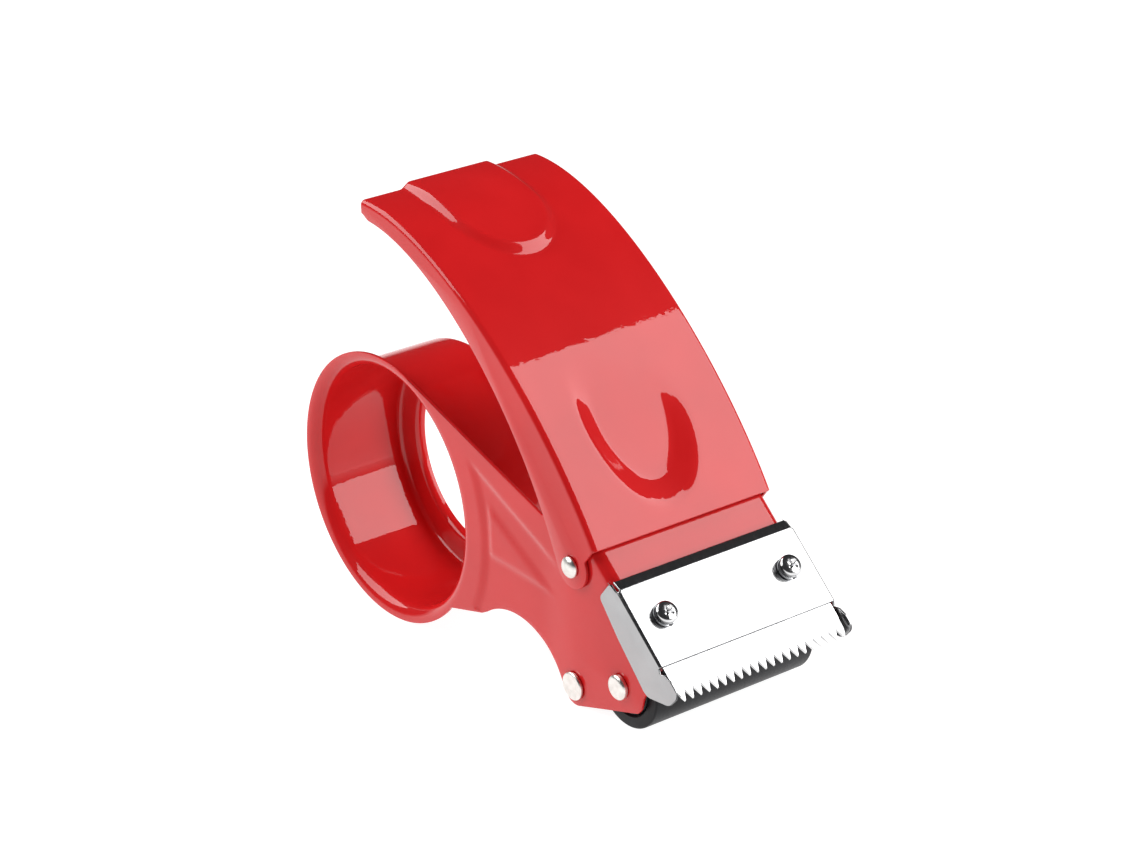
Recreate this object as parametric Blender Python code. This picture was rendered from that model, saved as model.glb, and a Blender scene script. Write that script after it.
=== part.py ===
"""Hand-held packing-tape dispenser: pressed-steel body with a tape drum, a curved handle,
a screwed-on blade cover with a serrated blade, and a rubber press roller.

Frame: metres, X forward to the blade, Y from the drum's open side to the loading side, Z up.
The origin is the middle of the bounding box, on the surface that the drum rim and roller stand on.
"""

import bpy
from math import acos, atan2, cos, degrees, hypot, pi, radians, sin, tan
from mathutils import Matrix, Vector
from mathutils.geometry import delaunay_2d_cdt

# ---------------------------------------------------------------- driving dimensions (metres)

OVERALL_LENGTH = 0.1733        # drum rim to blade tips
BODY_WIDTH = 0.0602            # over the two side plates
SHEET = 0.0010                 # body and handle steel
GAP = 0.0003                   # between pieces that touch

DRUM_OUTER_R = 0.0375          # carries a roll with a 76 mm core
DRUM_DEPTH = 0.0322            # side plate's face to the end flange's far face
FLARE_R = 0.0040               # mouth of the drum
RIM_FLAT = 0.0004              # level edge outside the flare
HUB_HOLE_R = 0.0278            # through hole in the end flange
HUB_LIP = 0.0030               # turned edge of the hole

HANDLE_HEIGHT = 0.1287         # rear end's top face above the ground
HANDLE_REAR_REACH = 0.1294     # blade tips to the handle's rear edge
HANDLE_OVER_COVER = 0.0124     # cover's top edge to the handle's lower edge, up the slope
HANDLE_BEND_R = 0.0016
HANDLE_FLANGE_REAR = 0.0053
HANDLE_FLANGE_FRONT = 0.0190

PANEL_ANGLE = 46.2             # the front panel's slope, degrees below the horizon
PANEL_BEND_R = 0.0034
PANEL_LENGTH = 0.0500
COVER_SHEET = 0.0007
COVER_LENGTH = 0.0235
COVER_BEND_R = 0.0010          # outside of the wings' folds
COVER_LIP = 0.0030             # turned-back strip above the cover's top bend
COVER_LIP_ANGLE = 18           # degrees
COVER_LIP_R = 0.0012
BLADE_THICKNESS = 0.0008
BLADE_LENGTH = 0.0305
TOOTH_COUNT = 21
TOOTH_DEPTH = 0.0032

ROLLER_R = 0.0128
ROLLER_CORE_R = 0.0086
AXLE_R = 0.0030
AXLE_HEAD_R = 0.0036
GUIDE_R = 0.0050
GUIDE_SHAFT_R = 0.0024
GUIDE_HEAD_R = 0.0041
RUNNING = 0.00006              # radial clearance of a turning fit

RIVET_R = 0.0019
RIVET_HEAD_R = 0.0031
SCREW_R = 0.00195
SCREW_HEAD_R = 0.0033
SCREW_SPACING = 0.0436
SCREW_DOWN = 0.0105            # cover's top edge to the screws

RING_SEGMENTS = 48
ROUND_SEGMENTS = 24

# ---------------------------------------------------------------- derived positions

half_body = BODY_WIDTH / 2
front_x = OVERALL_LENGTH / 2
rim_r = DRUM_OUTER_R - SHEET + FLARE_R + RIM_FLAT
drum_x = -OVERALL_LENGTH / 2 + rim_r
drum_z = rim_r
tip_z = 0.0164

down = Vector((cos(radians(PANEL_ANGLE)), -sin(radians(PANEL_ANGLE))))
out = Vector((sin(radians(PANEL_ANGLE)), cos(radians(PANEL_ANGLE))))

cover_back = COVER_SHEET
blade_front = cover_back + GAP / 2
blade_back = blade_front + BLADE_THICKNESS
panel_front = blade_back + GAP
panel_back = panel_front + SHEET

blade_top = 0.0035
blade_tip = blade_top + BLADE_LENGTH
cover_corner = Vector((front_x, tip_z)) - down * blade_tip + out * blade_front


def slope(t, d):
    """A point t down the front panel from the cover's top edge and d behind the cover's face."""
    q = cover_corner + down * t - out * d
    return q.x, q.y


axle_x = front_x - 0.0256
axle_z = ROLLER_R
guide_x = axle_x - 0.0207
guide_corner_r = 0.0060
guide_z = guide_corner_r + GAP
rivet_x = front_x - 0.0424
rivet_z = 0.0431

handle_half = half_body + GAP + SHEET
cover_half = half_body + GAP + COVER_SHEET

# ---------------------------------------------------------------- scene helpers

for old in list(bpy.data.objects):
    bpy.data.objects.remove(old, do_unlink=True)


def material(name, colour, metallic, roughness):
    mat = bpy.data.materials.new(name)
    mat.use_nodes = True
    shader = mat.node_tree.nodes["Principled BSDF"]
    shader.inputs["Base Color"].default_value = (*colour, 1.0)
    shader.inputs["Metallic"].default_value = metallic
    shader.inputs["Roughness"].default_value = roughness
    return mat


def add_mesh(name, verts, faces, mat, sharp=32.0):
    mesh = bpy.data.meshes.new(name)
    mesh.from_pydata([tuple(v) for v in verts], [], faces)
    mesh.update()
    if mat is not None:
        mesh.materials.append(mat)
    mesh.shade_smooth()
    mesh.set_sharp_from_angle(angle=radians(sharp))
    obj = bpy.data.objects.new(name, mesh)
    bpy.context.scene.collection.objects.link(obj)
    return obj


def outward(verts, faces):
    """The same faces, turned to look out of the closed solid they bound."""
    volume = 0.0
    for f in faces:
        for k in range(1, len(f) - 1):
            a, b, c = (Vector(verts[f[m]]) for m in (0, k, k + 1))
            volume += a.dot(b.cross(c))
    return [f[::-1] for f in faces] if volume < 0 else faces


def facing(verts, face, direction):
    """The face, turned to look along direction."""
    normal = Vector((0.0, 0.0, 0.0))
    for k in range(len(face)):
        normal += Vector(verts[face[k - 1]]).cross(Vector(verts[face[k]]))
    return face if normal.dot(Vector(direction)) > 0 else face[::-1]


def move_origin(obj, point):
    """Puts the object's origin at point with the mesh left where it is."""
    for v in obj.data.vertices:
        v.co -= Vector(point)
    obj.location = point


def cut(obj, tool):
    tool.hide_render = True
    tool.display_type = "WIRE"
    mod = obj.modifiers.new("cut " + tool.name, "BOOLEAN")
    mod.operation = "DIFFERENCE"
    mod.solver = "EXACT"
    mod.object = tool


def thicken(obj, thickness):
    """Gives a skin its sheet thickness on the side away from its normals."""
    mod = obj.modifiers.new("sheet", "SOLIDIFY")
    mod.thickness = thickness
    mod.offset = -1.0
    mod.use_even_offset = True
    mod.use_quality_normals = True


def ring_points(r, n, phase=0.0):
    return [(r * cos(2 * pi * i / n + phase), r * sin(2 * pi * i / n + phase)) for i in range(n)]


def lathe_y(name, profile, x, z, mat, n=ROUND_SEGMENTS, sharp=32.0):
    """Turns a closed (radius, y) profile about an axis along Y; radius 0 closes on the axis."""
    verts = []
    rows = []
    for r, y in profile:
        if r < 1e-9:
            rows.append([len(verts)] * n)
            verts.append((x, y, z))
        else:
            rows.append([len(verts) + i for i in range(n)])
            verts += [(x + a, y, z + b) for a, b in ring_points(r, n)]
    faces = []
    for k in range(len(rows)):
        a = rows[k]
        b = rows[(k + 1) % len(rows)]
        if a[0] == a[1] and b[0] == b[1]:
            continue
        for i in range(n):
            j = (i + 1) % n
            loop = [a[i], a[j], b[j], b[i]]
            face = [v for m, v in enumerate(loop) if v != loop[m - 1]]
            faces.append(face)
    return add_mesh(name, verts, outward(verts, faces), mat, sharp)


def tube(name, outer, inner, y0, y1, x, z, mat, n=ROUND_SEGMENTS, ease=0.0):
    """A tube along Y, its outer edges eased by a small chamfer."""
    profile = [
        (inner, y0),
        (outer - ease, y0),
        (outer, y0 + ease),
        (outer, y1 - ease),
        (outer - ease, y1),
        (inner, y1),
    ]
    if ease == 0:
        profile = [(inner, y0), (outer, y0), (outer, y1), (inner, y1)]
    return lathe_y(name, profile, x, z, mat, n)


def prism(name, outline, lift, low, high, mat, sharp=32.0):
    """Extrudes a 2-D outline; lift(a, b, h) places outline point (a, b) at height h."""
    n = len(outline)
    verts = [lift(a, b, low) for a, b in outline] + [lift(a, b, high) for a, b in outline]
    faces = [list(range(n)), list(range(2 * n - 1, n - 1, -1))]
    faces += [[(i + 1) % n, i, n + i, n + (i + 1) % n] for i in range(n)]
    return add_mesh(name, verts, outward(verts, faces), mat, sharp)


def panel_lift(a, b, h):
    """Outline point a down the panel and b across it, h behind the cover's face."""
    x, z = slope(a, h)
    return x, b, z


def rounded(corners, steps=5):
    """A closed outline through (x, y, radius) corners, each rounded by its own radius."""
    points = []
    n = len(corners)
    for i, (x, y, r) in enumerate(corners):
        here = Vector((x, y))
        before = (Vector(corners[i - 1][:2]) - here).normalized()
        after = (Vector(corners[(i + 1) % n][:2]) - here).normalized()
        half = acos(max(-1.0, min(1.0, before.dot(after)))) / 2
        if r <= 0 or half > radians(89):
            points.append((x, y))
            continue
        reach = r / tan(half)
        centre = here + (before + after).normalized() * (r / sin(half))
        start = here + before * reach - centre
        end = here + after * reach - centre
        turn = start.angle_signed(end)
        for k in range(steps + 1):
            spoke = start.copy()
            spoke.rotate(Matrix.Rotation(-turn * k / steps, 2))
            points.append((centre.x + spoke.x, centre.y + spoke.y))
    return points


def arc(cx, cz, r, a0, a1, steps):
    """Points on a circle from angle a0 to a1 in degrees, both ends included."""
    angles = [radians(a0 + (a1 - a0) * k / steps) for k in range(steps + 1)]
    return [(cx + r * cos(a), cz + r * sin(a)) for a in angles]


red_paint = material("red_paint", (0.62, 0.015, 0.02), 0.0, 0.25)
nickel = material("nickel_plate", (0.80, 0.80, 0.80), 1.0, 0.22)
blade_steel = material("blade_steel", (0.72, 0.73, 0.74), 1.0, 0.28)
zinc = material("zinc_plate", (0.62, 0.63, 0.65), 1.0, 0.35)
rubber = material("black_rubber", (0.012, 0.012, 0.014), 0.0, 0.6)
plastic = material("black_plastic", (0.03, 0.03, 0.032), 0.0, 0.45)

# ---------------------------------------------------------------- body: one pressed sheet

# The side plate joins the drum's ring between two of its vertices. The upper one is where a
# line from the plate's brow just touches the ring.
brow = (rivet_x - 0.0138, rivet_z + 0.0108)
touch_angle = atan2(brow[1] - drum_z, brow[0] - drum_x)
touch_angle += acos(rim_r / hypot(brow[0] - drum_x, brow[1] - drum_z))
RIM_TOP = int(touch_angle / (2 * pi / RING_SEGMENTS))
RIM_BOTTOM = -RING_SEGMENTS // 8


def side_outline(near):
    """The side plate's outline in XZ from the panel's top, round the rear, to its foot."""
    top = slope(-PANEL_LENGTH / 2 - 0.001, bend_line)
    foot_angle = 14.5
    arch_x = guide_x - 0.0277
    arch_z = 0.0193
    rise = guide_z - arch_z
    reach = guide_x - arch_x
    arch_r = (reach**2 + rise**2 - guide_corner_r**2) / (2 * (guide_corner_r - rise))
    touch = degrees(atan2(rise + arch_r, reach))
    heel = arc(guide_x, guide_z, guide_corner_r, 180 + touch, 270 + foot_angle, 8)
    toe_low = (axle_x + 0.0068, axle_z - 0.0060)
    toe_front = (axle_x + 0.0095, axle_z - 0.0010)
    toe = [toe_low, (axle_x + 0.0084, axle_z - 0.0044), toe_front]
    if near:
        arch = arc(arch_x, arch_z - arch_r, arch_r, 122, touch, 12)
        return top, [brow], [(arch[0][0] - 0.0026, arch[0][1] - 0.0012)] + arch[:-1] + heel + toe
    rear = (guide_x - 0.0105, guide_z + 0.0140)
    return top, [brow, (brow[0] - 0.0012, brow[1] - 0.0040)], [rear] + heel[1:] + toe


bend_line = panel_front + PANEL_BEND_R
plate_y = half_body - PANEL_BEND_R
verts = []
faces = []


def put(x, y, z):
    verts.append((x, y, z))
    return len(verts) - 1


def smooth_step(a, b, v):
    k = max(0.0, min(1.0, (v - a) / (b - a)))
    return k * k * (3 - 2 * k)


FIELD_DEPTH = 0.0007
FIELD_GRID = 0.0032
field_front = rivet_x - 0.0020
rib_nose = (field_front - 0.0060, guide_z + 0.0235)
rib_root_x = drum_x + rim_r + 0.0090
rib_root = ((rib_root_x, drum_z + 0.0100), (rib_root_x - 0.0010, drum_z - 0.0075))


def side_of(p, a, b):
    """Distance of p to the left of the line from a to b."""
    run = hypot(b[0] - a[0], b[1] - a[1])
    return ((b[0] - a[0]) * (p[1] - a[1]) - (b[1] - a[1]) * (p[0] - a[0])) / run


def plate_recess(x, z):
    """Depth of the pressed field beside the drum; its margins and its rib stay level."""
    p = (x, z)
    field = smooth_step(rim_r + 0.0058, rim_r + 0.0088, hypot(x - drum_x, z - drum_z))
    field *= 1 - smooth_step(field_front - 0.0160, field_front, x)
    margin = (drum_x + 0.0447, drum_z + 0.0189)
    field *= smooth_step(-0.0013, 0.0013, side_of(p, (margin[0] + 0.0199, margin[1] - 0.0105), margin))
    inset = min(
        side_of(p, rib_root[0], rib_root[1]),
        side_of(p, rib_root[1], rib_nose),
        side_of(p, rib_nose, rib_root[0]),
    )
    return FIELD_DEPTH * field * (1 - smooth_step(0.0, 0.0024, inset))


def fill_plate(loop):
    """Fills the near side plate between its outline vertices, with the pressed field in it."""
    outline = [Vector((verts[i][0], verts[i][2])) for i in loop]
    n = len(loop)
    xs = [q.x for q in outline]
    zs = [q.y for q in outline]
    points = list(outline)
    for a in range(int((max(xs) - min(xs)) / FIELD_GRID)):
        for b in range(int((max(zs) - min(zs)) / FIELD_GRID)):
            x = min(xs) + FIELD_GRID * (a + 0.5 + 0.5 * (b % 2))
            z = min(zs) + FIELD_GRID * (b + 0.5)
            if x > field_front or hypot(x - drum_x, z - drum_z) < rim_r + 0.0030:
                continue
            q = Vector((x, z))
            spans = zip(outline, outline[1:] + outline[:1])
            crossings = 0
            near_edge = False
            for u, v in spans:
                if (u.y > z) != (v.y > z) and x < u.x + (z - u.y) * (v.x - u.x) / (v.y - u.y):
                    crossings += 1
                k = max(0.0, min(1.0, (q - u).dot(v - u) / max((v - u).length_squared, 1e-12)))
                near_edge = near_edge or (u + (v - u) * k - q).length < FIELD_GRID * 0.45
            if crossings % 2 == 1 and not near_edge:
                points.append(q)
    edges = [(k, (k + 1) % n) for k in range(n)]
    placed, _, triangles, origins, _, _ = delaunay_2d_cdt(points, edges, [], 1, 1e-7)
    ids = []
    for q, source in zip(placed, origins):
        if source and source[0] < n:
            ids.append(loop[source[0]])
            x, y, z = verts[ids[-1]]
            verts[ids[-1]] = (x, -half_body + plate_recess(x, z), z)
        else:
            ids.append(put(q.x, -half_body + plate_recess(q.x, q.y), q.y))
    for triangle in triangles:
        faces.append(facing(verts, [ids[k] for k in triangle], (0, -1, 0)))


# The drum's skin, from the side plate's face to the lip of the hub hole.
wall_r = DRUM_OUTER_R - SHEET
flange_y = -half_body + DRUM_DEPTH - SHEET
corner_r = 0.0016
drum_profile = [(rim_r, -half_body)]
drum_profile += [
    (wall_r + FLARE_R * (1 - sin(radians(a))), -half_body + FLARE_R * (1 - cos(radians(a))))
    for a in range(0, 91, 15)
]
drum_profile += [
    (wall_r - corner_r * (1 - cos(radians(a))), flange_y - corner_r * (1 - sin(radians(a))))
    for a in (0, 30, 60, 90)
]
lip_r = 0.0010 + SHEET
drum_profile += [
    (HUB_HOLE_R + lip_r * (1 - sin(radians(a))), flange_y + lip_r * (1 - cos(radians(a))))
    for a in (0, 30, 60, 90)
]
drum_profile.append((HUB_HOLE_R, flange_y + HUB_LIP))
rings = []
for r, y in drum_profile:
    rings.append([put(drum_x + a, y, drum_z + b) for a, b in ring_points(r, RING_SEGMENTS)])
for a, b in zip(rings, rings[1:]):
    for i in range(RING_SEGMENTS):
        j = (i + 1) % RING_SEGMENTS
        inward = (drum_x - verts[a[i]][0], -rim_r, drum_z - verts[a[i]][2])
        faces.append(facing(verts, [a[j], a[i], b[i], b[j]], inward))

# The near side plate, joined to the drum's mouth along part of its ring.
top, upper, lower = side_outline(True)
knee = slope(COVER_LENGTH, bend_line)
near_top = put(top[0], -half_body, top[1])
near_knee = put(knee[0], -half_body, knee[1])
plate = [near_knee, near_top]
plate += [put(x, -half_body, z) for x, z in upper]
plate += [rings[0][i % RING_SEGMENTS] for i in range(RIM_TOP, RIM_BOTTOM - 1, -1)]
plate += [put(x, -half_body, z) for x, z in lower]
fill_plate(plate)

# The bends and the front panel.
section = [
    (bend_line - PANEL_BEND_R * sin(radians(a)), -plate_y - PANEL_BEND_R * cos(radians(a)))
    for a in range(0, 91, 15)
]
section += [(d, -y) for d, y in section[::-1]]
top_row = [near_top]
knee_row = [near_knee]
for d, y in section[1:]:
    x, z = slope(-PANEL_LENGTH / 2 - 0.001, d)
    top_row.append(put(x, y, z))
    x, z = slope(COVER_LENGTH, d)
    knee_row.append(put(x, y, z))
for k in range(len(section) - 1):
    strip = [top_row[k], knee_row[k], knee_row[k + 1], top_row[k + 1]]
    middle = section[k][1] / half_body
    faces.append(facing(verts, strip, (out.x, middle * abs(middle), out.y)))

# The far side plate, cut short behind the roller.
_, upper, lower = side_outline(False)
plate = [top_row[-1], knee_row[-1]]
plate += [put(x, half_body, z) for x, z in lower[::-1]]
plate += [put(x, half_body, z) for x, z in upper[::-1]]
faces.append(facing(verts, plate, (0, 1, 0)))

body = add_mesh("body_frame", verts, faces, red_paint)
thicken(body, SHEET)


def side_hole(name, r, x, z, y0=-1.0, y1=1.0):
    """A cutter through the side plates, a circle turned about Y."""
    reach = half_body + 0.004
    return tube_solid("cutter_" + name, r, reach * y0, reach * y1, x, z)


def tube_solid(name, r, y0, y1, x, z, n=ROUND_SEGMENTS):
    return lathe_y(name, [(0, y0), (r, y0), (r, y1), (0, y1)], x, z, None, n)


def screw_hole(name, r, y, d0, d1):
    """A cutter square to the front panel at one screw."""
    outline = [(SCREW_DOWN + a, y + b) for a, b in ring_points(r, ROUND_SEGMENTS)]
    return prism("cutter_" + name, outline, panel_lift, d0, d1, None)


cut(body, side_hole("body_rivets", RIVET_R + GAP, rivet_x, rivet_z))
cut(body, side_hole("body_axle", AXLE_R + GAP, axle_x, axle_z))
cut(body, side_hole("body_guide", GUIDE_SHAFT_R + GAP, guide_x, guide_z))
for side, word in ((-1, "near"), (1, "far")):
    y = side * SCREW_SPACING / 2
    cut(body, screw_hole("panel_screw_" + word, SCREW_R + GAP, y, 0.0, panel_back + 0.002))

# ---------------------------------------------------------------- handle

HANDLE_STATIONS = 44
HANDLE_COLUMNS = 26

handle_low = Vector(slope(-HANDLE_OVER_COVER, panel_front - GAP - SHEET))
handle_rear = Vector((front_x - HANDLE_REAR_REACH - 0.0008, HANDLE_HEIGHT))
arm_low = Vector((cos(radians(118)), sin(radians(118)))) * 0.040
arm_rear = Vector((cos(radians(177)), sin(radians(177)))) * 0.036


def handle_curve(t):
    """Top face of the handle in XZ, from its lower edge (0) to its rear edge (1)."""
    p = [handle_low, handle_low + arm_low, handle_rear - arm_rear, handle_rear]
    s = 1 - t
    return p[0] * s**3 + p[1] * (3 * s * s * t) + p[2] * (3 * s * t * t) + p[3] * t**3


def handle_frame(t):
    """Point and outward normal of the handle's top face at parameter t."""
    step = 1e-4
    a = handle_curve(max(0.0, t - step))
    b = handle_curve(min(1.0, t + step))
    along = (b - a).normalized()
    return handle_curve(t), Vector((along.y, -along.x))


TONGUE_HALF = 0.0168
TONGUE_STRAIGHT = 0.0215
TONGUE_NOSE = 0.0213
TONGUE_RISE = 0.0018
TONGUE_WALL = 0.80             # share of the tongue's width where its wall starts
SCOOP_HALF = 0.0177
SCOOP_CENTRE = 0.0330
SCOOP_REACH = 0.0298
SCOOP_DEPTH = 0.0033
SCOOP_WALL = 0.56              # share of the scoop's width where its wall starts
SCOOP_TURN = 17.0              # lean of the scoop's run-out across the handle, per metre
RELIEF_Y = -0.0010             # both reliefs sit this far off the middle


def pressed(a, b, v):
    """0 before a, 1 after b and a straight wall between them, eased at its two ends."""
    ease = 0.25
    k = max(0.0, min(1.0, (v - a) / (b - a)))
    if k < ease:
        return k * k / (2 * ease * (1 - ease))
    if k > 1 - ease:
        return 1 - (1 - k) ** 2 / (2 * ease * (1 - ease))
    return (k - ease / 2) / (1 - ease)


def handle_relief(y, rear_distance, low_distance):
    """Height of the raised tongue and of the thumb scoop above the plain curve."""
    y -= RELIEF_Y
    nose = max(0.0, rear_distance - TONGUE_STRAIGHT) / TONGUE_NOSE
    tongue = TONGUE_RISE * (1 - pressed(TONGUE_WALL, 1.0, hypot(y / TONGUE_HALF, nose)))
    from_centre = (SCOOP_CENTRE - low_distance) / SCOOP_REACH
    fade = smooth_step(-0.62, 0.55, from_centre - SCOOP_TURN * y)
    scoop = SCOOP_DEPTH * (1 - pressed(SCOOP_WALL, 1.0, hypot(y / SCOOP_HALF, from_centre)))
    return tongue - scoop * fade


def build_handle(name, stations, columns):
    verts = []
    faces = []
    ts = [k / stations for k in range(stations + 1)]
    curve = [handle_frame(t) for t in ts]
    run = [0.0]
    for k in range(stations):
        run.append(run[-1] + (curve[k + 1][0] - curve[k][0]).length)
    total = run[-1]
    flat_y = handle_half - HANDLE_BEND_R
    rows = []
    for k, (point, normal) in enumerate(curve):
        row = []
        for side in (-1, 1):
            bend = []
            for a in (0.0, 22.5, 45.0, 67.5):
                drop = HANDLE_BEND_R * (1 - sin(radians(a)))
                y = side * (flat_y + HANDLE_BEND_R * cos(radians(a)))
                q = point - normal * drop
                bend.append((q.x, y, q.y))
            if side < 0:
                row += bend
                for c in range(columns + 1):
                    y = -flat_y + 2 * flat_y * c / columns
                    lift = handle_relief(y, total - run[k], run[k])
                    q = point + normal * lift
                    row.append((q.x, y, q.y))
            else:
                row += bend[::-1]
        rows.append([len(verts) + m for m in range(len(row))])
        verts += row
    for k, (a, b) in enumerate(zip(rows, rows[1:])):
        normal = curve[k][1]
        for i in range(len(a) - 1):
            tilt = verts[a[i]][1] / handle_half
            face = [a[i], b[i], b[i + 1], a[i + 1]]
            faces.append(facing(verts, face, (normal.x, tilt * abs(tilt), normal.y)))
    for side, edge in ((-1, 0), (1, -1)):
        flange = [row[edge] for row in rows]
        lower = []
        for k in range(stations, 0, -1):
            point, normal = curve[k]
            s = run[k] / total
            depth = HANDLE_FLANGE_REAR
            depth += (HANDLE_FLANGE_FRONT - HANDLE_FLANGE_REAR) * (1 - s) ** 1.75
            depth -= 0.0014 * smooth_step(0.97, 1.0, s)
            q = point - normal * depth
            clear = hypot(q.x - rivet_x, q.y - rivet_z)
            if clear > ear_r + 0.0035 and q.y > rivet_z + 0.001:
                lower.append((q.x, side * handle_half, q.y))
        ear = arc(rivet_x, rivet_z, ear_r, 192, 385, 16)
        lower += [(x, side * handle_half, z) for x, z in ear]
        ids = [len(verts) + m for m in range(len(lower))]
        verts += lower
        faces.append(facing(verts, flange + ids, (0, side, 0)))
    return add_mesh(name, verts, faces, red_paint)


ear_r = 0.0064
handle = build_handle("handle", HANDLE_STATIONS, HANDLE_COLUMNS)
thicken(handle, SHEET)
cut(handle, side_hole("handle_rivets", RIVET_R + GAP, rivet_x, rivet_z))

# ---------------------------------------------------------------- rivets through handle and body


def handle_rivet(name, side):
    """A round-headed rivet, its tail closed over inside the side plate."""
    face = handle_half + GAP
    inner = half_body - SHEET - GAP
    rise = 0.0015
    profile = [(0, inner - 0.0010), (RIVET_HEAD_R - 0.0009, inner - 0.0010)]
    profile += [(RIVET_HEAD_R - 0.0003, inner - 0.0005), (RIVET_HEAD_R - 0.0003, inner)]
    profile += [(RIVET_R, inner), (RIVET_R, face), (RIVET_HEAD_R, face)]
    profile += [
        (RIVET_HEAD_R * cos(radians(a)), face + 0.0003 + rise * sin(radians(a)))
        for a in (0, 25, 50, 75)
    ]
    profile.append((0, face + 0.0003 + rise))
    profile = [(r, side * y) for r, y in profile]
    return lathe_y(name, profile, rivet_x, rivet_z, zinc)


handle_rivet("handle_rivet_near", -1)
handle_rivet("handle_rivet_far", 1)

# ---------------------------------------------------------------- press roller on its axle


def headed_shaft(name, shaft_r, head_r, rise, dome, x, z):
    """A plain shaft across both side plates with a closed head outside each."""
    face = half_body + GAP
    right = [(shaft_r, face), (head_r, face), (head_r, face + rise * 0.45)]
    right += [
        (head_r * (1 - dome * (1 - cos(radians(a)))), face + rise * (0.45 + 0.55 * sin(radians(a))))
        for a in (30, 60, 90)
    ]
    right.append((0, face + rise))
    left = [(r, -y) for r, y in right[::-1]]
    return lathe_y(name, left + right, x, z, zinc)


washer_t = 0.0005
inside = half_body - SHEET
core_half = inside - 2 * GAP - washer_t
axle = headed_shaft("roller_axle", AXLE_R, AXLE_HEAD_R, 0.0017, 0.45, axle_x, axle_z)
for side, word in ((-1, "near"), (1, "far")):
    y0 = side * (inside - GAP)
    y1 = side * (inside - GAP - washer_t)
    y0, y1 = min(y0, y1), max(y0, y1)
    tube("roller_washer_" + word, 0.0072, AXLE_R + RUNNING, y0, y1, axle_x, axle_z, zinc)

bush_r = ROLLER_CORE_R - 0.0026
bush_length = 0.0080
core = tube(
    "roller_core", ROLLER_CORE_R, bush_r + GAP, -core_half, core_half, axle_x, axle_z, plastic
)
sleeve = tube(
    "roller_sleeve",
    ROLLER_R,
    ROLLER_CORE_R + GAP,
    -core_half,
    core_half,
    axle_x,
    axle_z,
    rubber,
    40,
    0.0006,
)
bushes = []
for side, word in ((-1, "near"), (1, "far")):
    y0 = side * core_half
    y1 = side * (core_half - bush_length)
    y0, y1 = min(y0, y1), max(y0, y1)
    bushes.append(
        tube("roller_bush_" + word, bush_r, AXLE_R + RUNNING, y0, y1, axle_x, axle_z, zinc)
    )
for piece in [core, sleeve] + bushes:
    move_origin(piece, (axle_x, 0.0, axle_z))

# ---------------------------------------------------------------- guide roller on its shaft

headed_shaft("guide_shaft", GUIDE_SHAFT_R, GUIDE_HEAD_R, 0.0010, 0.15, guide_x, guide_z)
guide_half = inside - GAP
guide = tube(
    "guide_roller",
    GUIDE_R,
    GUIDE_SHAFT_R + RUNNING,
    -guide_half,
    guide_half,
    guide_x,
    guide_z,
    plastic,
    ROUND_SEGMENTS,
    0.0004,
)
move_origin(guide, (guide_x, 0.0, guide_z))

# ---------------------------------------------------------------- blade cover


def build_cover(name):
    """Front plate with a turned-back top edge and two guard wings beside the blade."""
    verts = []
    faces = []
    flat_y = cover_half - COVER_BEND_R

    def at(t, d, y):
        x, z = slope(t, d)
        verts.append((x, y, z))
        return len(verts) - 1

    tilt = radians(COVER_LIP_ANGLE)
    t = -COVER_LIP_R * sin(tilt) - COVER_LIP * cos(tilt)
    d = COVER_LIP_R * (1 - cos(tilt)) + COVER_LIP * sin(tilt)
    rows = [[at(t, d, -flat_y), at(t, d, flat_y)]]
    for share in (1.0, 0.5, 0.0):
        t = -COVER_LIP_R * sin(tilt * share)
        d = COVER_LIP_R * (1 - cos(tilt * share))
        rows.append([at(t, d, -flat_y), at(t, d, flat_y)])
    rows.append([at(COVER_LENGTH, 0.0, -flat_y), at(COVER_LENGTH, 0.0, flat_y)])
    for a, b in zip(rows, rows[1:]):
        faces.append(facing(verts, [a[0], b[0], b[1], a[1]], (out.x, 0, out.y)))
    wing = [
        (26.0, 0.0, 0.0004),
        (28.5, -1.0, 0.0020),
        (33.0, -1.1, 0.0024),
        (33.0, 5.0, 0.0040),
        (26.5, 12.2, 0.0040),
        (9.1, 10.7, 0.0400),
        (-2.9, 8.8, 0.0016),
        (-3.3, 1.6, 0.0010),
    ]
    wing = rounded([(t / 1000, d / 1000, r) for t, d, r in wing], 4)
    for side in (-1, 1):
        top_edge = [rows[-2][0 if side < 0 else 1]]
        low_edge = [rows[-1][0 if side < 0 else 1]]
        for a in range(15, 91, 15):
            y = side * (flat_y + COVER_BEND_R * sin(radians(a)))
            d = COVER_BEND_R * (1 - cos(radians(a)))
            top_edge.append(at(0.0, d, y))
            low_edge.append(at(COVER_LENGTH, d, y))
        for k in range(len(top_edge) - 1):
            quad = [top_edge[k], low_edge[k], low_edge[k + 1], top_edge[k + 1]]
            faces.append(facing(verts, quad, (out.x, side, out.y)))
        slot = [at(COVER_LENGTH + 0.0012, COVER_BEND_R + 0.0006, side * cover_half)]
        loop = [top_edge[-1], low_edge[-1]] + slot
        loop += [at(t, d, side * cover_half) for t, d in wing]
        faces.append(facing(verts, loop, (0, side, 0)))
    return add_mesh(name, verts, faces, nickel)


cover = build_cover("blade_cover")
thicken(cover, COVER_SHEET)
for side, word in ((-1, "near"), (1, "far")):
    y = side * SCREW_SPACING / 2
    cut(cover, screw_hole("cover_screw_" + word, SCREW_R + GAP, y, -0.002, blade_front))

# ---------------------------------------------------------------- serrated blade

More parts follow.
